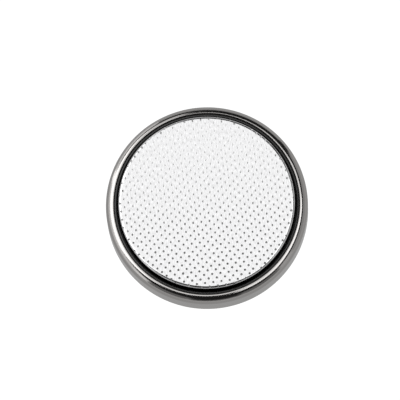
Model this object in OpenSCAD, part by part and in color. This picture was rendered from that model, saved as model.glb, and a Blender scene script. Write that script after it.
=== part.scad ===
// Lithium coin cell with a dimpled negative cap.
// Origin: centre of the can's flat outer face. +Z runs along the axis, towards the negative cap.

/* [Cell] */
// Outside diameter of the can
cell_d = 24.5; // [24:0.1:25.5]
// Height over both flat faces
cell_h = 5.0; // [4.8:0.1:6]

/* [Positive can] */
// Thickness of the can's sheet
can_sheet = 0.25; // [0.2:0.01:0.3]
// Outside radius of the corner between the flat face and the wall
base_radius = 0.5; // [0.35:0.05:0.8]
// How far in the shoulder rolls over the gasket, from the can's wall to the lip's cut edge
shoulder_reach = 0.95; // [0.9:0.01:1]
// Height over which the shoulder rolls in
shoulder_rise = 1.1; // [0.9:0.05:1.2]
// How far the cap's flat face stands above the top of the lip
cap_stand = 0.85; // [0.75:0.05:1]

/* [Negative cap] */
// Thickness of the cap's sheet
cap_sheet = 0.2; // [0.15:0.01:0.22]
// Distance from the can's wall to the crown's wall
crown_inset = 1.57; // [1.5:0.01:1.6]
// Outside radius of the crown's edge
crown_radius = 0.32; // [0.25:0.01:0.4]
// Radius of the fillet at the foot of the crown's wall
step_fillet = 0.15; // [0.1:0.01:0.15]

/* [Dimples] */
// Spacing of the dimples along a row; every second row is half a step on
dimple_pitch = 1.0; // [0.9:0.05:1.6]
// Angle of the rows from +X, in degrees
dimple_turn = 1.6; // [0:0.1:45]
// Diameter of the largest dimples at the surface
dimple_d = 0.3; // [0.2:0.02:0.36]
// Depth of the largest dimples
dimple_depth = 0.1; // [0.05:0.01:0.1]
// Size of the smallest dimples, towards +Y, as a share of the largest
dimple_least = 0.36; // [0.3:0.02:1]

/* [Gasket] */
// Thickness of the gasket between the can's wall and the cap's skirt
gasket_wall = 0.4; // [0.35:0.01:0.45]
// Thickness of the gasket's foot under the skirt
gasket_foot = 0.35; // [0.2:0.05:0.5]
// Height of the gasket's inner wall above the can's floor
gasket_inner_h = 1.1; // [0.6:0.1:1.4]
// Gap between the gasket's upper edge and the crown's wall
gasket_gap = 0.19; // [0.16:0.01:0.22]
// Height of the gasket's upper edge above the underside of the lip
gasket_stand = 0.13; // [0.05:0.01:0.2]

/* [Electrodes] */
// Diameter of the lithium disc
lithium_d = 19.2; // [17:0.1:19.4]
// Thickness of the lithium disc
lithium_h = 1.3; // [1:0.05:1.4]
// Thickness of the separator
separator_t = 0.15; // [0.1:0.01:0.2]
// Diameter of the cathode pellet
pellet_d = 20.4; // [19:0.1:20.4]
// Thickness of the cathode ring's sheet
ring_sheet = 0.2; // [0.1:0.01:0.2]
// Height of the cathode ring
ring_h = 2.0; // [1:0.1:2.2]
// Width of the cathode ring's foot under the pellet
ring_foot = 1.2; // [0.6:0.1:2]

/* [Hidden] */
$fn = 180;

bend_steps = 12;                                  // flats in which each bend of a section is drawn

can_r = cell_d / 2;
lip_top_z = cell_h - cap_stand;
shoulder_r = can_r - shoulder_reach;              // where the lip ends
shoulder_z = lip_top_z - shoulder_rise;           // where the straight wall ends
least_bend = 0.02;                                // a tight bend is still drawn this wide

crown_r = can_r - crown_inset;
cap_depth = can_sheet + gasket_wall;              // the cap's outside lies this deep under the can's
skirt_r = can_r - cap_depth;
skirt_inner_r = skirt_r - cap_sheet;
skirt_end_z = can_sheet + gasket_foot;
step_z = shoulder_z + shoulder_rise - cap_depth;  // top of the step that the lip clamps

gasket_lip_r = crown_r + gasket_gap;
gasket_lip_z = lip_top_z - can_sheet + gasket_stand;
gasket_round = 0.18;                              // rounding of the edge that shows in the groove
gasket_lean = 60;                                 // where its slope down to the lip meets the rounding

stack_top_z = cell_h - cap_sheet;
lithium_z = stack_top_z - lithium_h;
separator_z = lithium_z - separator_t;
separator_gap = 0.08;                             // all round, inside the crown's wall
separator_r = crown_r - cap_sheet - separator_gap;
separator_rim_h = 0.7;
pellet_r = pellet_d / 2;

dimple_reach = crown_r - crown_radius - dimple_d / 2;
dimple_floor = 0.3;                               // floor diameter as a share of the mouth
dimple_rows = ceil(dimple_reach / dimple_pitch) + 1;
dimple_shift = [0.07, -0.36];                     // of a dimple from the cap's centre, in steps
dimple_sides = 16;
hair = 0.01;                                      // overshoot that keeps cuts clean

// Points of an oval arc about [r, z], from one angle to another; reach is [outwards, upwards]
function oval(centre, reach, from, to) = [
    for (k = [0:bend_steps])
        let (a = from + (to - from) * k / bend_steps)
        centre + [reach[0] * cos(a), reach[1] * sin(a)]
];

function arc(centre, radius, from, to) = oval(centre, [radius, radius], from, to);

// Points of the rolled shoulder, at a depth under its outer face
function shoulder(depth, from, to) = oval(
    [shoulder_r, shoulder_z],
    [max(shoulder_reach - depth, least_bend), max(shoulder_rise - depth, least_bend)],
    from, to
);

// Share of its full size that a dimple has at a distance y from the cap's centre
function dimple_bite(y) = 1 - (1 - dimple_least) * (dimple_reach + y) / (2 * dimple_reach);

// Solid of revolution from a closed outline of [radius, height] points
module turned(outline) {
    rotate_extrude() polygon(outline);
}

module ring(outer_r, inner_r, height) {
    difference() {
        cylinder(r = outer_r, h = height);
        translate([0, 0, -hair]) cylinder(r = inner_r, h = height + 2 * hair);
    }
}

// Drawn steel cup with its rim rolled in over the gasket
module positive_can() {
    base_centre = [can_r - base_radius, base_radius];
    color("silver") turned(concat(
        [[0, 0]],
        arc(base_centre, base_radius, -90, 0),
        shoulder(0, 0, 90),
        shoulder(can_sheet, 90, 0),
        arc(base_centre, base_radius - can_sheet, 0, -90),
        [[0, can_sheet]]
    ));
}

// Moulded seal ring: a channel that holds the cap's skirt, closed over its step by the rolled lip
module gasket() {
    base_centre = [can_r - base_radius, base_radius];
    foot_inner_r = skirt_inner_r - gasket_foot;
    color([0.08, 0.08, 0.08]) turned(concat(
        [[foot_inner_r, can_sheet]],
        arc(base_centre, base_radius - can_sheet, -90, 0),
        shoulder(can_sheet, 0, 90),
        arc([gasket_lip_r + gasket_round, gasket_lip_z - gasket_round], gasket_round, gasket_lean, 180),
        [[gasket_lip_r, step_z]],
        shoulder(cap_depth, 90, 0),
        [[skirt_r, skirt_end_z], [skirt_inner_r, skirt_end_z],
         [skirt_inner_r, can_sheet + gasket_inner_h], [foot_inner_r, can_sheet + gasket_inner_h]]
    ));
}

// Shallow tapered pit left by one point of the punch, at a share of its full size
module dimple(bite) {
    depth = bite * dimple_depth;
    mouth = bite * dimple_d;
    translate([0, 0, -depth])
        cylinder(d1 = mouth * dimple_floor, d2 = mouth, h = depth + hair, $fn = dimple_sides);
}

// Dimples in staggered rows, smaller and shallower towards +Y
module dimples() {
    for (half = [0, 0.5], i = [-dimple_rows:dimple_rows], j = [-dimple_rows:dimple_rows]) {
        step = dimple_pitch * ([i, j] + [half, half] + dimple_shift);
        place = [
            step[0] * cos(dimple_turn) - step[1] * sin(dimple_turn),
            step[0] * sin(dimple_turn) + step[1] * cos(dimple_turn)
        ];
        if (norm(place) < dimple_reach) translate(place) dimple(dimple_bite(place[1]));
    }
}

// Drawn steel cap: dimpled crown, step for the lip to clamp, and a skirt that stands in the gasket
module negative_cap() {
    step_centre = [crown_r + step_fillet, step_z + step_fillet];
    crown_centre = [crown_r - crown_radius, cell_h - crown_radius];
    color("gainsboro") difference() {
        turned(concat(
            [[0, cell_h]],
            arc(crown_centre, crown_radius, 90, 0),
            arc(step_centre, step_fillet, 180, 270),
            shoulder(cap_depth, 90, 0),
            [[skirt_r, skirt_end_z], [skirt_inner_r, skirt_end_z]],
            shoulder(cap_depth + cap_sheet, 0, 90),
            arc(step_centre, step_fillet + cap_sheet, 270, 180),
            arc(crown_centre, crown_radius - cap_sheet, 0, 90),
            [[0, cell_h - cap_sheet]]
        ));
        translate([0, 0, cell_h]) dimples();
    }
}

// Disc of lithium pressed onto the inside of the crown
module lithium_anode() {
    color("lightgrey") translate([0, 0, lithium_z]) cylinder(d = lithium_d, h = lithium_h);
}

// Nonwoven dish that keeps the electrodes apart, with its rim turned up round the lithium
module separator() {
    color("white") translate([0, 0, separator_z]) {
        cylinder(r = separator_r, h = separator_t);
        ring(separator_r, separator_r - separator_t, separator_t + separator_rim_h);
    }
}

// Pressed manganese dioxide pellet, stepped at its foot to sit in its ring
module cathode_pellet() {
    color("dimgrey") difference() {
        translate([0, 0, can_sheet]) cylinder(r = pellet_r, h = separator_z - can_sheet);
        cathode_ring_envelope();
    }
}

// The ring's solid, also cut out of the pellet so that the two meet face to face
module cathode_ring_envelope() {
    translate([0, 0, can_sheet]) {
        ring(pellet_r + ring_sheet, pellet_r, ring_h);
        ring(pellet_r + hair, pellet_r - ring_foot, ring_sheet);
    }
}

// Steel L-section ring round the pellet
module cathode_ring() {
    color("darkgrey") cathode_ring_envelope();
}

positive_can();
gasket();
negative_cap();
lithium_anode();
separator();
cathode_pellet();
cathode_ring();
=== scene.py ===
"""Lithium coin cell: a rolled steel can, its black seal and a bright cap covered in punched marks."""

import math

import bmesh
import bpy
from mathutils import Matrix, Quaternion, Vector
from mathutils.geometry import delaunay_2d_cdt


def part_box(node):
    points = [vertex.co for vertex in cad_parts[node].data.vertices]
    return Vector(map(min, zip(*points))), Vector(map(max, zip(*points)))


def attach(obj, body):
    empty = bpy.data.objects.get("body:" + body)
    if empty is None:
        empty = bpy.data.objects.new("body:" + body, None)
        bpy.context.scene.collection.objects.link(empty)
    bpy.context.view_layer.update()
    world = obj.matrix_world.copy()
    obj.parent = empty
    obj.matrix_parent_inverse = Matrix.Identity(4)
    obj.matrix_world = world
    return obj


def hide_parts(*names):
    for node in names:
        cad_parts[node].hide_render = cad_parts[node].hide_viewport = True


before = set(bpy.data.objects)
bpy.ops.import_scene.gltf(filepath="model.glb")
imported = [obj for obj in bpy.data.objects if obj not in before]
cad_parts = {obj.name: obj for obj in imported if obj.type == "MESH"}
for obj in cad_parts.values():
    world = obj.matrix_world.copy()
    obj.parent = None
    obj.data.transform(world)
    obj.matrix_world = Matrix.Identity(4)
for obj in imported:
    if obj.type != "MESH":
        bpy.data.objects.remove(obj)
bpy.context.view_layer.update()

MM = 0.001
MICRON = 0.001 * MM

# Sizes in millimetres. The cell's outer sizes come from the frame.
CAN_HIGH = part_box("positive_can")[1] / MM
CAP_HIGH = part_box("negative_cap")[1] / MM
CAN_R = CAN_HIGH.x
LIP_TOP_Z = CAN_HIGH.z
CELL_TOP_Z = CAP_HIGH.z

CAN_SHEET = 0.25
BASE_RADIUS = 0.5
SHOULDER_REACH = 0.95             # how far the shoulder rolls in
SHOULDER_RISE = 1.1               # height over which it does so
LIP_TURN = 90                     # angle the shoulder turns through, so that the lip ends flat
EDGE_BREAK = 0.03                 # rounding of the lip's cut edge
HOLD = 0.05                       # how near a rounding the next ring of points lies, to keep flats flat
FLOOR_RINGS = (4, 8)              # rings of points on the cell's flat faces

CAP_SHEET = 0.2
CROWN_R = 10.68
CROWN_RADIUS = 0.32
STEP_FILLET = 0.15
GASKET_WALL = 0.4
GASKET_FOOT = 0.35
GASKET_INNER_H = 1.1
GASKET_GAP = 0.19
GASKET_ROUND = 0.18
GASKET_LEAN = 60                  # where its slope down to the lip meets that rounding
SEAL_STAND = 0.13                 # how far the seal stands up above the lip's underside

SHOULDER_R = CAN_R - SHOULDER_REACH
SHOULDER_Z = LIP_TOP_Z - SHOULDER_RISE
SKIRT_R = CAN_R - CAN_SHEET - GASKET_WALL
STEP_Z = LIP_TOP_Z - CAN_SHEET - GASKET_WALL   # the step on which the seal is clamped
SKIRT_END_Z = CAN_SHEET + GASKET_FOOT
CROWN_FLAT_R = CROWN_R - CROWN_RADIUS
GROOVE_SHADE_HIGH_Z = CELL_TOP_Z - 0.22  # painted shade, black at the groove, fades out up the crown's wall to here
GROOVE_SHADE_LOW_Z = CELL_TOP_Z - 0.5

# Punch marks: staggered rows, laid out on the flat sheet before the crown is drawn
MARK_ACROSS = 0.995
MARK_ALONG = 1.008
MARK_TURN = 1.61
MARK_SHIFT = (0.066, -0.351)
MARK_MOUTH = 0.28
MARK_DEPTH = 0.10
MARK_TIP = 0.3                    # share of the mouth that is the mark's flat bottom
MARK_SIDES = 14
MARK_RIM = 0.012                  # flat rim left round each mark
MARK_DEEP_Y = -8.5                # the punch bites fully here ...
MARK_SHALLOW_Y = 7.0              # ... and least here
MARK_SHALLOW = 0.3                # size of the least mark beside a full one
MARK_STRETCH = 4.0                # length of the least marks beside their width, along the rolling
MARK_EDGE = 0.8                   # how far the draw of the crown's edge opens the faint marks up
MARK_EDGE_FROM = 0.75             # how far in from the outermost marks that starts ...
MARK_EDGE_FULL = 0.35             # ... and where it is complete
MARK_LEAST = 0.94                 # least and most size that wear of the punch gives
MARK_MOST = 1.06
MARK_SEED = 7
MARK_CLEAR = 0.05                 # sheet left between the outermost marks and the sheet's edge
MARK_MARGIN = 0.02                # points of the sheet keep this far from a mark
EDGE_HOLDS = (0.06, 0.02)         # rings of points just inside the crown's rounding
EDGE_STEPS = 9                    # steps over that rounding
ROLLING_TURN = -4.5               # of the rolling direction from +Y

TURN_STEPS = 360                  # faces round every turned piece

# Studio, in metres, degrees and radiance
SOFTBOX_HEIGHT = 0.12
TABLE_REACH = 1.5
TABLE_DROP = 0.02 * MM            # how far the table lies under the cell
GLOW_IN_PAINTED_SHADOW = 0.47                  # light the table gives beside the cell, dimmed there as a painted shadow of the cell ...
GLOW_FAR = 0.6                    # ... and farther away
GLOW_SEEN = 1.08                  # and how bright it looks
SKY_GLOW = 0.02
SKY_SEEN = 1.05
CAMERA_DISTANCE = 0.75
CAMERA_ELEVATION = 76.8
CAMERA_ROLL = 5.7
FRAME_WIDTH = 48.5 * MM           # how much of the table the frame takes in, at the cell
AIM = (-0.85 * MM, 0.81 * MM)     # the middle of the frame, right and up from the cell's middle


# ---------------------------------------------------------------- outlines

def arc(centre, radius, start, end, steps=10):
    """Points of an arc in the half section, angles in degrees from straight out."""
    angles = [math.radians(start + (end - start) * k / steps) for k in range(steps + 1)]
    return [(centre[0] + radius * math.cos(a), centre[1] + radius * math.sin(a)) for a in angles]


def shoulder_arc(depth, start, end, steps=10):
    """Points of the rolled shoulder, at a depth under its outer face."""
    angles = [math.radians(start + (end - start) * k / steps) for k in range(steps + 1)]
    return [(SHOULDER_R + (SHOULDER_REACH - depth) * math.cos(a),
             SHOULDER_Z + (SHOULDER_RISE - depth) * math.sin(a)) for a in angles]


def can_outline():
    base = (CAN_R - BASE_RADIUS, BASE_RADIUS)
    return (
        [(0, 0)] + [(r, 0) for r in FLOOR_RINGS] + [(base[0] - HOLD, 0)]
        + arc(base, BASE_RADIUS, -90, 0, 12)
        + [(CAN_R, base[1] + HOLD), (CAN_R, SHOULDER_Z - HOLD)]
        + shoulder_arc(0, 0, LIP_TURN - 3, 28)
        + lip_edge()
        + shoulder_arc(CAN_SHEET, LIP_TURN - 3, 0)
        + arc(base, BASE_RADIUS - CAN_SHEET, 0, -90, 6)
        + [(FLOOR_RINGS[-1], CAN_SHEET), (0, CAN_SHEET)]
    )


def lip_edge():
    """The lip's cut edge, with both its corners broken."""
    top = shoulder_arc(0, LIP_TURN, LIP_TURN, 1)[0]
    bottom = shoulder_arc(CAN_SHEET, LIP_TURN, LIP_TURN, 1)[0]
    upper = (top[0] + EDGE_BREAK, top[1] - EDGE_BREAK)
    lower = (bottom[0] + EDGE_BREAK, bottom[1] + EDGE_BREAK)
    return arc(upper, EDGE_BREAK, 90, 180, 3) + arc(lower, EDGE_BREAK, 180, 270, 3)


def gasket_outline():
    base = (CAN_R - BASE_RADIUS, BASE_RADIUS)
    foot_r = SKIRT_R - CAP_SHEET - GASKET_FOOT
    skirt_in = SKIRT_R - CAP_SHEET
    top_z, lip_r = LIP_TOP_Z - CAN_SHEET + SEAL_STAND, CROWN_R + GASKET_GAP
    return (
        [(foot_r, CAN_SHEET)]
        + arc(base, BASE_RADIUS - CAN_SHEET, -90, 0, 6)
        + shoulder_arc(CAN_SHEET, 0, LIP_TURN)
        + arc((lip_r + GASKET_ROUND, top_z - GASKET_ROUND), GASKET_ROUND, GASKET_LEAN, 180, 8)
        + [(lip_r, STEP_Z)]
        + shoulder_arc(CAN_SHEET + GASKET_WALL, 90, 0, 6)
        + [(SKIRT_R, SKIRT_END_Z), (skirt_in, SKIRT_END_Z),
           (skirt_in, CAN_SHEET + GASKET_INNER_H), (foot_r, CAN_SHEET + GASKET_INNER_H)]
    )


def cap_outline():
    """The cap below its crown: wall, step and skirt outside, then back up the inside to the middle."""
    step = (CROWN_R + STEP_FILLET, STEP_Z + STEP_FILLET)
    crown = (CROWN_FLAT_R, CELL_TOP_Z - CROWN_RADIUS)
    skirt_in = SKIRT_R - CAP_SHEET
    return (
        [(CROWN_R, crown[1])]
        + arc(step, STEP_FILLET, 180, 270, 6)
        + shoulder_arc(CAN_SHEET + GASKET_WALL, 90, 0, 6)
        + [(SKIRT_R, SKIRT_END_Z), (skirt_in, SKIRT_END_Z)]
        + shoulder_arc(CAN_SHEET + GASKET_WALL + CAP_SHEET, 0, 90, 3)
        + arc(step, STEP_FILLET + CAP_SHEET, 270, 180, 6)
        + arc(crown, CROWN_RADIUS - CAP_SHEET, 0, 90, 4)
        + [(FLOOR_RINGS[-1], CELL_TOP_Z - CAP_SHEET), (0, CELL_TOP_Z - CAP_SHEET)]
    )


# ---------------------------------------------------------------- meshes

def tidy_outline(outline):
    points = [outline[0]]
    for p in outline[1:]:
        if math.dist(p, points[-1]) > 1e-6:
            points.append(p)
    return points


def turn_into(bm, outline, closed):
    """Turns an outline of (radius, height) round the axis into bm, with a single point at the axis."""
    rings = []
    for r, z in tidy_outline(outline):
        if r < 1e-6:
            rings.append([bm.verts.new((0, 0, z * MM))])
            continue
        ring = []
        for k in range(TURN_STEPS):
            a = 2 * math.pi * k / TURN_STEPS
            ring.append(bm.verts.new((r * math.cos(a) * MM, r * math.sin(a) * MM, z * MM)))
        rings.append(ring)
    pairs = list(zip(rings, rings[1:]))
    if closed:
        pairs.append((rings[-1], rings[0]))
    for low, high in pairs:
        if len(low) == 1 and len(high) == 1:
            continue
        for k in range(TURN_STEPS):
            n = (k + 1) % TURN_STEPS
            if len(low) == 1:
                bm.faces.new((low[0], high[n], high[k]))
            elif len(high) == 1:
                bm.faces.new((low[k], low[n], high[0]))
            else:
                bm.faces.new((low[k], low[n], high[n], high[k]))


def piece_from(bm, name, sharp_angle=35):
    """Welds and closes bm, and makes it an object with smooth faces."""
    bmesh.ops.remove_doubles(bm, verts=bm.verts, dist=1e-7)
    bmesh.ops.recalc_face_normals(bm, faces=bm.faces)
    mesh = bpy.data.meshes.new(name)
    bm.to_mesh(mesh)
    bm.free()
    mesh.shade_smooth()
    mesh.set_sharp_from_angle(angle=math.radians(sharp_angle))
    piece = bpy.data.objects.new(name, mesh)
    bpy.context.scene.collection.objects.link(piece)
    return piece


def turned_piece(name, outline, closed=True):
    bm = bmesh.new()
    turn_into(bm, outline, closed)
    return piece_from(bm, name)


# ---------------------------------------------------------------- punch marks

class Tree:
    """Shorthand for building a node tree."""

    def __init__(self, tree):
        self.tree = tree

    def node(self, kind, settings=None, **inputs):
        made = self.tree.nodes.new(kind)
        for key, value in (settings or {}).items():
            setattr(made, key, value)
        for key, value in inputs.items():
            self.feed(made.inputs[int(key[1:])] if key[0] == "i" and key[1:].isdigit()
                      else made.inputs[key.replace("_", " ")], value)
        return made

    def feed(self, socket, value):
        if isinstance(value, bpy.types.NodeSocket):
            self.tree.links.new(value, socket)
        else:
            socket.default_value = value

    def maths(self, operation, a, b=0.0):
        return self.node("ShaderNodeMath", {"operation": operation}, i0=a, i1=b).outputs[0]


def punch_tree():
    """Lays punch marks in staggered rows on a flat sheet at z 0, out to a reach from the middle.

    From the deep side to the shallow side they get smaller and are drawn out along the rolling."""
    tree = bpy.data.node_groups.new("Punch marks", "GeometryNodeTree")
    floats = ("Across", "Along", "Turn", "Reach", "Mouth", "Depth", "Tip", "Rim", "Deep side", "Shallow side",
              "Shallow size", "Stretch", "Rolling turn", "Edge size", "Edge from", "Edge full", "Least size",
              "Most size")
    kinds = [(name, "Float") for name in floats]
    kinds += [("Rows", "Int"), ("Sides", "Int"), ("Seed", "Int"), ("Shift", "Vector"), ("Metal", "Material")]
    for name, kind in kinds:
        tree.interface.new_socket(name, in_out="INPUT", socket_type="NodeSocket" + kind)
    tree.interface.new_socket("Marks", in_out="OUTPUT", socket_type="NodeSocketGeometry")
    t = Tree(tree)
    given = tree.nodes.new("NodeGroupInput").outputs

    # two square-on grids, the second half a step along and across
    odd = t.maths("ADD", t.maths("MULTIPLY", given["Rows"], 2.0), 1.0)
    width = t.maths("MULTIPLY", given["Across"], t.maths("MULTIPLY", given["Rows"], 2.0))
    height = t.maths("MULTIPLY", given["Along"], t.maths("MULTIPLY", given["Rows"], 2.0))
    grid = t.node("GeometryNodeMeshGrid", Size_X=width, Size_Y=height,
                  Vertices_X=odd, Vertices_Y=odd).outputs[0]
    half = t.node("ShaderNodeCombineXYZ", X=t.maths("MULTIPLY", given["Across"], 0.5),
                  Y=t.maths("MULTIPLY", given["Along"], 0.5)).outputs[0]
    between = t.node("GeometryNodeTransform", Geometry=grid, Translation=half).outputs[0]
    both = t.tree.nodes.new("GeometryNodeJoinGeometry")
    t.tree.links.new(grid, both.inputs[0])
    t.tree.links.new(between, both.inputs[0])
    shifted = t.node("GeometryNodeTransform", Geometry=both.outputs[0],
                     Translation=given["Shift"]).outputs[0]
    spin = t.node("ShaderNodeCombineXYZ", Z=given["Turn"]).outputs[0]
    laid = t.node("GeometryNodeTransform", Geometry=shifted, Rotation=spin).outputs[0]

    # one mark: a disc with its rim, its wall and its bottom pushed in one after the other
    mouth = t.maths("MULTIPLY", given["Mouth"], 0.5)
    before = t.maths("ADD", mouth, given["Rim"])
    mark = t.node("GeometryNodeMeshCircle", {"fill_type": "NGON"},
                  Vertices=given["Sides"], Radius=before).outputs[0]
    inner_face = True
    for radius, sink in ((mouth, 0.0), (t.maths("MULTIPLY", mouth, given["Tip"]), -1.0)):
        pushed = t.node("GeometryNodeExtrudeMesh", {"mode": "FACES"}, Mesh=mark,
                        Selection=inner_face, Offset_Scale=0.0)
        inner_face = pushed.outputs["Top"]
        here = t.node("ShaderNodeSeparateXYZ", Vector=t.node("GeometryNodeInputPosition").outputs[0]).outputs
        narrower = t.maths("DIVIDE", radius, before)
        place = t.node("ShaderNodeCombineXYZ", X=t.maths("MULTIPLY", here[0], narrower),
                       Y=t.maths("MULTIPLY", here[1], narrower), Z=t.maths("MULTIPLY", given["Depth"], sink))
        mark = t.node("GeometryNodeSetPosition", Geometry=pushed.outputs[0], Selection=inner_face,
                      Position=place.outputs[0]).outputs[0]
        before = radius

    near = t.node("ShaderNodeVectorMath", {"operation": "LENGTH"},
                  Vector=t.node("GeometryNodeInputPosition").outputs[0]).outputs["Value"]
    kept = t.node("FunctionNodeCompare", {"data_type": "FLOAT", "operation": "LESS_THAN"},
                  A=near, B=given["Reach"]).outputs[0]
    side = t.node("ShaderNodeSeparateXYZ", Vector=t.node("GeometryNodeInputPosition").outputs[0]).outputs[1]
    faint = t.node("ShaderNodeMapRange", i0=side, i1=given["Deep side"], i2=given["Shallow side"]).outputs[0]
    from_edge = t.maths("SUBTRACT", given["Reach"], near)
    opened = t.node("ShaderNodeMapRange", i0=from_edge,
                    i1=given["Edge from"], i2=given["Edge full"]).outputs[0]
    still_faint = t.maths("SUBTRACT", 1.0, t.maths("MULTIPLY", opened, given["Edge size"]))
    faint = t.maths("MULTIPLY", faint, still_faint)
    bite = t.node("ShaderNodeMapRange", i0=faint, i3=1.0, i4=given["Shallow size"]).outputs[0]
    late = t.maths("MULTIPLY", faint, faint)
    drawn_out = t.node("ShaderNodeMapRange", i0=late, i3=1.0, i4=given["Stretch"]).outputs[0]
    wear = t.node("FunctionNodeRandomValue", {"data_type": "FLOAT"},
                  i2=given["Least size"], i3=given["Most size"], Seed=given["Seed"])
    wide = t.maths("MULTIPLY", bite, wear.outputs[1])
    size = t.node("ShaderNodeCombineXYZ", X=wide, Y=t.maths("MULTIPLY", wide, drawn_out), Z=wide).outputs[0]
    along = t.node("ShaderNodeCombineXYZ", Z=given["Rolling turn"]).outputs[0]
    placed = t.node("GeometryNodeInstanceOnPoints", Points=laid, Selection=kept, Instance=mark,
                    Rotation=along, Scale=size)
    real = t.node("GeometryNodeRealizeInstances", Geometry=placed.outputs[0]).outputs[0]
    done = t.node("GeometryNodeSetMaterial", Geometry=real, Material=given["Metal"]).outputs[0]
    t.node("NodeGroupOutput", Marks=done)
    return tree


def punch_marks(reach, metal):
    """The marks as one plain mesh, each an open dish with its rim at z 0."""
    holder = bpy.data.objects.new("marks", bpy.data.meshes.new("marks"))
    bpy.context.scene.collection.objects.link(holder)
    modifier = holder.modifiers.new("punch marks", "NODES")
    modifier.node_group = punch_tree()
    values = {
        "Across": MARK_ACROSS * MM,
        "Along": MARK_ALONG * MM,
        "Rows": math.ceil(reach / MARK_ACROSS) + 1,
        "Turn": math.radians(MARK_TURN),
        "Shift": [s * MM for s in MARK_SHIFT] + [0.0],
        "Reach": reach * MM,
        "Mouth": MARK_MOUTH * MM,
        "Depth": MARK_DEPTH * MM,
        "Tip": MARK_TIP,
        "Rim": MARK_RIM * MM,
        "Sides": MARK_SIDES,
        "Deep side": MARK_DEEP_Y * MM,
        "Shallow side": MARK_SHALLOW_Y * MM,
        "Shallow size": MARK_SHALLOW,
        "Stretch": MARK_STRETCH,
        "Rolling turn": math.radians(ROLLING_TURN),
        "Edge size": MARK_EDGE,
        "Edge from": MARK_EDGE_FROM * MM,
        "Edge full": MARK_EDGE_FULL * MM,
        "Least size": MARK_LEAST,
        "Most size": MARK_MOST,
        "Seed": MARK_SEED,
        "Metal": metal,
    }
    for socket in modifier.node_group.interface.items_tree:
        if socket.in_out == "INPUT":
            modifier[socket.identifier] = values[socket.name]
    depsgraph = bpy.context.evaluated_depsgraph_get()
    mesh = bpy.data.meshes.new_from_object(holder.evaluated_get(depsgraph))
    holder.modifiers.remove(modifier)
    bpy.data.objects.remove(holder)
    return mesh


def drawn(point):
    """Where a point of the flat punched sheet lies once the crown's edge is drawn down over its radius."""
    reach = math.hypot(point.x, point.y)
    past = reach - CROWN_FLAT_R * MM
    if past <= 0:
        return Vector((point.x, point.y, CELL_TOP_Z * MM + point.z))
    a = past / (CROWN_RADIUS * MM)
    radius = CROWN_FLAT_R * MM + (CROWN_RADIUS * MM + point.z) * math.sin(a)
    height = (CELL_TOP_Z - CROWN_RADIUS) * MM + (CROWN_RADIUS * MM + point.z) * math.cos(a)
    return Vector((point.x / reach * radius, point.y / reach * radius, height))


def punched_crown(bm, marked):
    """Adds the crown's outside to bm: the marks, and the sheet between and round them."""
    sheet_r = CROWN_FLAT_R + CROWN_RADIUS * math.pi / 2
    bm.from_mesh(punch_marks(sheet_r - MARK_MOUTH / 2 - MARK_CLEAR, marked))
    for face in bm.faces:
        flat = all(abs(v.co.z) < 1e-9 for v in face.verts)
        face.material_index = 0 if flat else 1
    rim = [e for e in bm.edges if len(e.link_faces) == 1]
    sheet = sorted({v for e in rim for v in e.verts}, key=lambda v: v.index)
    spot = {v: k for k, v in enumerate(sheet)}
    flat = [Vector((v.co.x / MM, v.co.y / MM)) for v in sheet]
    edges = [(spot[e.verts[0]], spot[e.verts[1]]) for e in rim]
    rims = [list(range(k, k + MARK_SIDES)) for k in range(0, len(flat), MARK_SIDES)]
    near_mark = mark_finder([[flat[k] for k in rim] for rim in rims])

    rings = [CROWN_FLAT_R - hold for hold in EDGE_HOLDS]
    rings += [CROWN_FLAT_R + (sheet_r - CROWN_FLAT_R) * k / EDGE_STEPS for k in range(EDGE_STEPS + 1)]
    for radius in rings:
        first = len(flat)
        for k in range(TURN_STEPS):
            a = 2 * math.pi * k / TURN_STEPS
            p = Vector((radius * math.cos(a), radius * math.sin(a)))
            if radius == rings[-1] or not near_mark(p):
                flat.append(p)
                sheet.append(bm.verts.new((p.x * MM, p.y * MM, 0)))
    edges += [(first + k, first + (k + 1) % TURN_STEPS) for k in range(TURN_STEPS)]

    _, _, faces, source, _, marks = delaunay_2d_cdt(flat, edges, rims, 0, 1e-6)
    for face, mark in zip(faces, marks):
        if not mark:
            bm.faces.new([sheet[source[k][0]] for k in face])
    for v in bm.verts:
        v.co = drawn(v.co)


def mark_finder(rims):
    """Tells whether a point lies in any mark, or nearer to one than the margin."""
    cells = {}
    for rim in rims:
        middle = sum(rim, Vector((0, 0))) / len(rim)
        reach = max((corner - middle).length for corner in rim) + MARK_MARGIN
        cells.setdefault((math.floor(middle.x), math.floor(middle.y)), []).append((middle, reach))

    def near_mark(point):
        x, y = math.floor(point.x), math.floor(point.y)
        near = (cells.get((x + i, y + j), ()) for i in (-1, 0, 1) for j in (-1, 0, 1))
        return any((middle - point).length < reach for cell in near for middle, reach in cell)

    return near_mark


def crowned_cap(metal, marked):
    bm = bmesh.new()
    punched_crown(bm, marked)
    turn_into(bm, cap_outline(), closed=False)
    piece = piece_from(bm, "cap_shell")
    piece.data.materials.append(metal)
    piece.data.materials.append(marked)
    return piece


# ---------------------------------------------------------------- finishes

def finish_tree(name):
    material = bpy.data.materials.new(name)
    material.use_nodes = True
    t = Tree(material.node_tree)
    shader = material.node_tree.nodes["Principled BSDF"]
    place = t.node("ShaderNodeTexCoord").outputs["Object"]
    return material, t, shader, place


def spread(t, value, low, high):
    """Carries a 0 to 1 pattern into the range low to high."""
    return t.node("ShaderNodeMapRange", i0=value, i3=low, i4=high).outputs[0]


def tint(t, value, dark, light):
    """Carries a 0 to 1 pattern between two colours."""
    ramp = t.node("ShaderNodeValToRGB", i0=value)
    ramp.color_ramp.elements[0].color = (*dark, 1)
    ramp.color_ramp.elements[1].color = (*light, 1)
    return ramp.outputs[0]


def deepen(t, value):
    """Stretches the middle of a noise to the whole of 0 to 1."""
    return t.node("ShaderNodeMapRange", i0=value, i1=0.32, i2=0.68).outputs[0]


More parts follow.
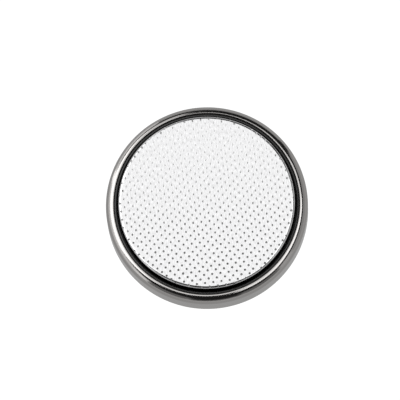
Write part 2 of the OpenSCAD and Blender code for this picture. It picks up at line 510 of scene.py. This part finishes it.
def grain(t, place, scale, detail=4.0, roughness=0.6):
    noise = t.node("ShaderNodeTexNoise", Vector=place, Scale=scale, Detail=detail, Roughness=roughness)
    return noise.outputs[0]


def bump(t, height, depth, strength=1.0, under=None):
    made = t.node("ShaderNodeBump", Height=height, Distance=depth, Strength=strength)
    if under is not None:
        t.feed(made.inputs["Normal"], under)
    return made.outputs[0]


def round_the_axis(t, place):
    """Coordinates of radius and height only, so that a pattern runs round the cell as draw marks do."""
    across = t.node("ShaderNodeSeparateXYZ", Vector=place).outputs
    flat = t.node("ShaderNodeCombineXYZ", X=across[0], Y=across[1]).outputs[0]
    radius = t.node("ShaderNodeVectorMath", {"operation": "LENGTH"}, Vector=flat).outputs["Value"]
    return t.node("ShaderNodeCombineXYZ", X=radius, Z=across[2]).outputs[0]


def can_steel():
    """Dull nickel-plated steel with draw marks round it and the fine scuffing of tumbling."""
    material, t, shader, place = finish_tree("can steel")
    marks = grain(t, round_the_axis(t, place), 7000, 3.0)
    scuffs = grain(t, place, 2600, 5.0, 0.7)
    patches = grain(t, place, 260, 3.0)
    t.feed(shader.inputs["Base Color"], tint(t, patches, (0.425, 0.412, 0.402), (0.485, 0.471, 0.46)))
    t.feed(shader.inputs["Roughness"], spread(t, scuffs, 0.08, 0.18))
    shader.inputs["Metallic"].default_value = 1.0
    fine = bump(t, scuffs, 1 * MICRON, 0.5)
    t.feed(shader.inputs["Normal"], bump(t, marks, 1 * MICRON, 0.5, fine))
    return material


def rolled(t, place, fineness, stretch):
    """Grain drawn out along the direction in which the sheet was rolled."""
    laid = t.node("ShaderNodeMapping", {"vector_type": "TEXTURE"}, Vector=place,
                  Rotation=(0, 0, math.radians(ROLLING_TURN)), Scale=(1.0, stretch, 1.0)).outputs[0]
    return grain(t, laid, fineness, 2.0, 0.5)


def cap_steel():
    """Bright stainless sheet with faint streaks of rolling, its wall painted nearly black low down by the
    groove as shade.
    """
    material, t, shader, place = finish_tree("cap steel")
    streaks = deepen(t, rolled(t, place, 9000, 4.0))
    patches = grain(t, place, 240, 3.0)
    height = t.node("ShaderNodeSeparateXYZ", Vector=place).outputs[2]
    # painted shade: the wall's colour goes nearly black towards the groove between cap and seal
    out_of_groove_shade = t.node("ShaderNodeMapRange", i0=height, i1=GROOVE_SHADE_LOW_Z * MM, i2=GROOVE_SHADE_HIGH_Z * MM).outputs[0]
    bright = tint(t, streaks, (0.61, 0.61, 0.615), (0.80, 0.80, 0.805))
    t.feed(shader.inputs["Base Color"], t.node("ShaderNodeMix", {"data_type": "RGBA"}, i0=out_of_groove_shade,
                                               i6=(0.03, 0.03, 0.03, 1), i7=bright).outputs[2])
    t.feed(shader.inputs["Roughness"], spread(t, patches, 0.12, 0.18))
    shader.inputs["Metallic"].default_value = 1.0
    t.feed(shader.inputs["Normal"], bump(t, streaks, 2 * MICRON, 0.4))
    return material


def mark_steel():
    """The same steel inside the punch marks, with painted shade: dark in the hollows on the near side of the
    crown, fading to a plain steel tone towards the far side.
    """
    material, t, shader, place = finish_tree("mark steel")
    pit_mottle = grain(t, place, 9000, 3.0)
    side = t.node("ShaderNodeSeparateXYZ", Vector=place).outputs[1]
    # painted light and shade: the marks' colour runs from dark on the near (-Y) side to plain steel on the
    # far side
    painted_light_to_far_side = t.node("ShaderNodeMapRange", i0=side, i1=MARK_DEEP_Y * MM, i2=MARK_SHALLOW_Y * MM).outputs[0]
    painted_pit_shade = tint(t, pit_mottle, (0.22, 0.22, 0.22), (0.42, 0.42, 0.415))
    t.feed(shader.inputs["Base Color"], t.node("ShaderNodeMix", {"data_type": "RGBA"}, i0=painted_light_to_far_side,
                                               i6=painted_pit_shade, i7=(0.55, 0.55, 0.55, 1)).outputs[2])
    t.feed(shader.inputs["Roughness"], spread(t, pit_mottle, 0.3, 0.5))
    shader.inputs["Metallic"].default_value = 1.0
    t.feed(shader.inputs["Normal"], bump(t, pit_mottle, 4 * MICRON, 0.5))
    return material


def seal_plastic():
    """Black moulded polymer, a little glossy, with a fine mould texture."""
    material, t, shader, place = finish_tree("seal plastic")
    texture = grain(t, place, 6000, 3.0)
    patches = grain(t, place, 500)
    t.feed(shader.inputs["Base Color"], tint(t, patches, (0.004, 0.004, 0.004), (0.009, 0.0085, 0.008)))
    t.feed(shader.inputs["Roughness"], spread(t, texture, 0.35, 0.5))
    shader.inputs["Specular IOR Level"].default_value = 0.65
    t.feed(shader.inputs["Normal"], bump(t, texture, 10 * MICRON, 0.4))
    return material


def lithium_metal():
    """Soft silvery lithium foil, dulled in patches by its oxide."""
    material, t, shader, place = finish_tree("lithium metal")
    tarnish = grain(t, place, 350, 6.0)
    t.feed(shader.inputs["Base Color"], tint(t, tarnish, (0.36, 0.35, 0.36), (0.72, 0.71, 0.69)))
    t.feed(shader.inputs["Roughness"], spread(t, tarnish, 0.5, 0.3))
    shader.inputs["Metallic"].default_value = 1.0
    t.feed(shader.inputs["Normal"], bump(t, grain(t, place, 1500), 20 * MICRON, 0.5))
    return material


def separator_felt():
    """White nonwoven fibre mat."""
    material, t, shader, place = finish_tree("separator felt")
    ways = [t.node("ShaderNodeMapping", Vector=place, Rotation=(0, 0, turn),
                   Scale=(1.0, 0.12, 1.0)).outputs[0] for turn in (0.5, -1.1)]
    fibres = t.maths("MAXIMUM", *[grain(t, way, 9000, 2.0) for way in ways])
    t.feed(shader.inputs["Base Color"], tint(t, fibres, (0.62, 0.61, 0.58), (0.86, 0.86, 0.84)))
    t.feed(shader.inputs["Roughness"], spread(t, fibres, 0.95, 0.8))
    t.feed(shader.inputs["Normal"], bump(t, fibres, 30 * MICRON, 0.8))
    return material


def cathode_powder():
    """Pressed manganese dioxide and carbon, nearly black and finely granular."""
    material, t, shader, place = finish_tree("cathode powder")
    grains = t.node("ShaderNodeTexVoronoi", Vector=place, Scale=7000).outputs["Distance"]
    patches = grain(t, place, 1800)
    t.feed(shader.inputs["Base Color"], tint(t, patches, (0.012, 0.012, 0.013), (0.05, 0.048, 0.046)))
    t.feed(shader.inputs["Roughness"], spread(t, grains, 0.9, 0.65))
    t.feed(shader.inputs["Normal"], bump(t, grains, 30 * MICRON, 0.7))
    return material


def ring_steel():
    """Thin stamped stainless strip."""
    material, t, shader, place = finish_tree("ring steel")
    marks = grain(t, round_the_axis(t, place), 5000, 3.0)
    t.feed(shader.inputs["Base Color"], tint(t, marks, (0.48, 0.48, 0.47), (0.6, 0.6, 0.59)))
    t.feed(shader.inputs["Roughness"], spread(t, marks, 0.22, 0.34))
    shader.inputs["Metallic"].default_value = 1.0
    t.feed(shader.inputs["Normal"], bump(t, marks, 4 * MICRON, 0.4))
    return material


# ---------------------------------------------------------------- studio

def softbox(name, centre, size, facing, radiance):
    """A rectangular light, unseen by the camera, whose face has the given radiance."""
    light = bpy.data.lights.new(name, "AREA")
    light.shape = "RECTANGLE"
    light.size, light.size_y = size
    light.energy = radiance * math.pi * size[0] * size[1]
    holder = bpy.data.objects.new(name, light)
    holder.location = centre
    holder.rotation_mode = "QUATERNION"
    holder.rotation_quaternion = Vector(facing).to_track_quat("-Z", "Y")
    holder.visible_camera = False
    bpy.context.scene.collection.objects.link(holder)


def overhead(name, left, right, near, far, radiance):
    """A softbox close above the cell, from left to right and from near the camera to far, in millimetres."""
    centre = ((left + right) / 2 * MM, (near + far) / 2 * MM, SOFTBOX_HEIGHT)
    softbox(name, centre, ((right - left) * MM, (far - near) * MM), (0, 0, -1), radiance)


def studio_lights():
    overhead("main softbox", -44, 37, -29, 62, 1.25)
    overhead("left softbox", -140, -44, -37, 115, 2.5)
    overhead("left edge softbox", -219, -140, -37, 144, 1.4)
    overhead("right softbox", 37, 84, -29, 28, 2.2)
    overhead("right rear softbox", 37, 70, 28, 55, 1.4)
    softbox("left panel", (-1.5, 0.0, 0.58), (2.4, 1.16), (1, 0, 0), 0.95)
    softbox("right panel", (1.5, 0.0, 0.58), (2.4, 1.16), (-1, 0, 0), 0.42)
    overhead("front right softbox", 18, 84, -62, -29, 1.9)
    overhead("rear left softbox", -90, -8, 62, 125, 1.0)
    softbox("rear left panel", (-0.95, 1.2, 0.42), (1.1, 0.84), (0.62, -0.78, 0), 1.0)
    softbox("rear panel", (0.5, 1.6, 0.3), (2.0, 0.6), (0, -1, 0), 0.42)
    softbox("front panel", (0.0, -1.5, 0.2), (1.2, 0.4), (0, 1, 0), 0.13)
    softbox("front left panel", (-1.0, -1.1, 0.5), (1.3, 1.0), (0.67, 0.74, 0), 0.2)
    softbox("front right panel", (1.0, -1.1, 0.5), (1.3, 1.0), (-0.67, 0.74, 0), 0.2)


def studio_world():
    """White where the camera looks past the floor, and nearly dark as a light."""
    world = bpy.data.worlds.new("studio")
    world.use_nodes = True
    t = Tree(world.node_tree)
    sky = world.node_tree.nodes["Background"]
    seen = t.node("ShaderNodeLightPath").outputs["Is Camera Ray"]
    t.feed(sky.inputs["Color"], (1, 1, 1, 1))
    t.feed(sky.inputs["Strength"], spread(t, seen, SKY_GLOW, SKY_SEEN))
    bpy.context.scene.world = world


def studio_floor():
    """A lit white table top, clear from below so that the underside can be looked at. As a light its glow is
    dimmed round the cell as a painted shadow.
    """
    bm = bmesh.new()
    bmesh.ops.create_grid(bm, x_segments=1, y_segments=1, size=TABLE_REACH)
    mesh = bpy.data.meshes.new("floor")
    bm.to_mesh(mesh)
    bm.free()
    mesh.transform(Matrix.Translation((0, 0, -TABLE_DROP)))
    floor = bpy.data.objects.new("floor", mesh)
    bpy.context.scene.collection.objects.link(floor)
    material = bpy.data.materials.new("lit table top")
    material.use_nodes = True
    tree = material.node_tree
    tree.nodes.clear()
    t = Tree(tree)
    seen = t.node("ShaderNodeLightPath").outputs["Is Camera Ray"]
    away = t.node("ShaderNodeVectorMath", {"operation": "LENGTH"},
                  Vector=t.node("ShaderNodeTexCoord").outputs["Object"]).outputs["Value"]
    # painted shadow: the table's glow as a light is dimmer within a few radii of the cell
    painted_shadow_glow = t.node("ShaderNodeMapRange", i0=away, i1=CAN_R * MM, i2=3 * CAN_R * MM,
                    i3=GLOW_IN_PAINTED_SHADOW, i4=GLOW_FAR).outputs[0]
    strength = spread(t, seen, painted_shadow_glow, GLOW_SEEN)
    glow = t.node("ShaderNodeEmission", Color=(1, 1, 1, 1), Strength=strength).outputs[0]
    clear = t.node("ShaderNodeBsdfTransparent").outputs[0]
    below = t.node("ShaderNodeNewGeometry").outputs["Backfacing"]
    both = t.node("ShaderNodeMixShader", i0=below, i1=glow, i2=clear).outputs[0]
    t.node("ShaderNodeOutputMaterial", Surface=both)
    mesh.materials.append(material)


def studio_camera():
    camera = bpy.data.cameras.new("camera")
    camera.sensor_width = 36
    camera.lens = camera.sensor_width * CAMERA_DISTANCE / FRAME_WIDTH
    camera.clip_start, camera.clip_end = 0.05, 10
    holder = bpy.data.objects.new("camera", camera)
    bpy.context.scene.collection.objects.link(holder)
    elevation = math.radians(CAMERA_ELEVATION)
    back = Vector((0, -math.cos(elevation), math.sin(elevation)))
    turn = (-back).to_track_quat("-Z", "Y") @ Quaternion((0, 0, 1), math.radians(-CAMERA_ROLL))
    middle = Vector((0, 0, CELL_TOP_Z * MM / 2))
    target = middle + turn @ Vector((AIM[0], AIM[1], 0))
    holder.location = target + back * CAMERA_DISTANCE
    holder.rotation_mode = "QUATERNION"
    holder.rotation_quaternion = turn
    bpy.context.scene.camera = holder


# ---------------------------------------------------------------- the cell

def place(piece, node, slot, material=None):
    """Puts a finished piece in the place of a CAD node."""
    if material:
        piece.data.materials.append(material)
    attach(piece, "root")
    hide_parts(node)


def dress(node, material):
    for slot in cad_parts[node].material_slots:
        slot.material = material


studio_camera()
studio_world()
studio_floor()
studio_lights()

place(turned_piece("can_shell", can_outline()), "positive_can", "can_steel", can_steel())
place(turned_piece("seal_ring", gasket_outline()), "gasket", "seal_plastic", seal_plastic())
place(crowned_cap(cap_steel(), mark_steel()), "negative_cap", "cap_steel")

dress("lithium_anode", lithium_metal())
dress("separator", separator_felt())
dress("cathode_pellet", cathode_powder())
dress("cathode_ring", ring_steel())

bpy.context.scene.view_settings.view_transform = "Standard"
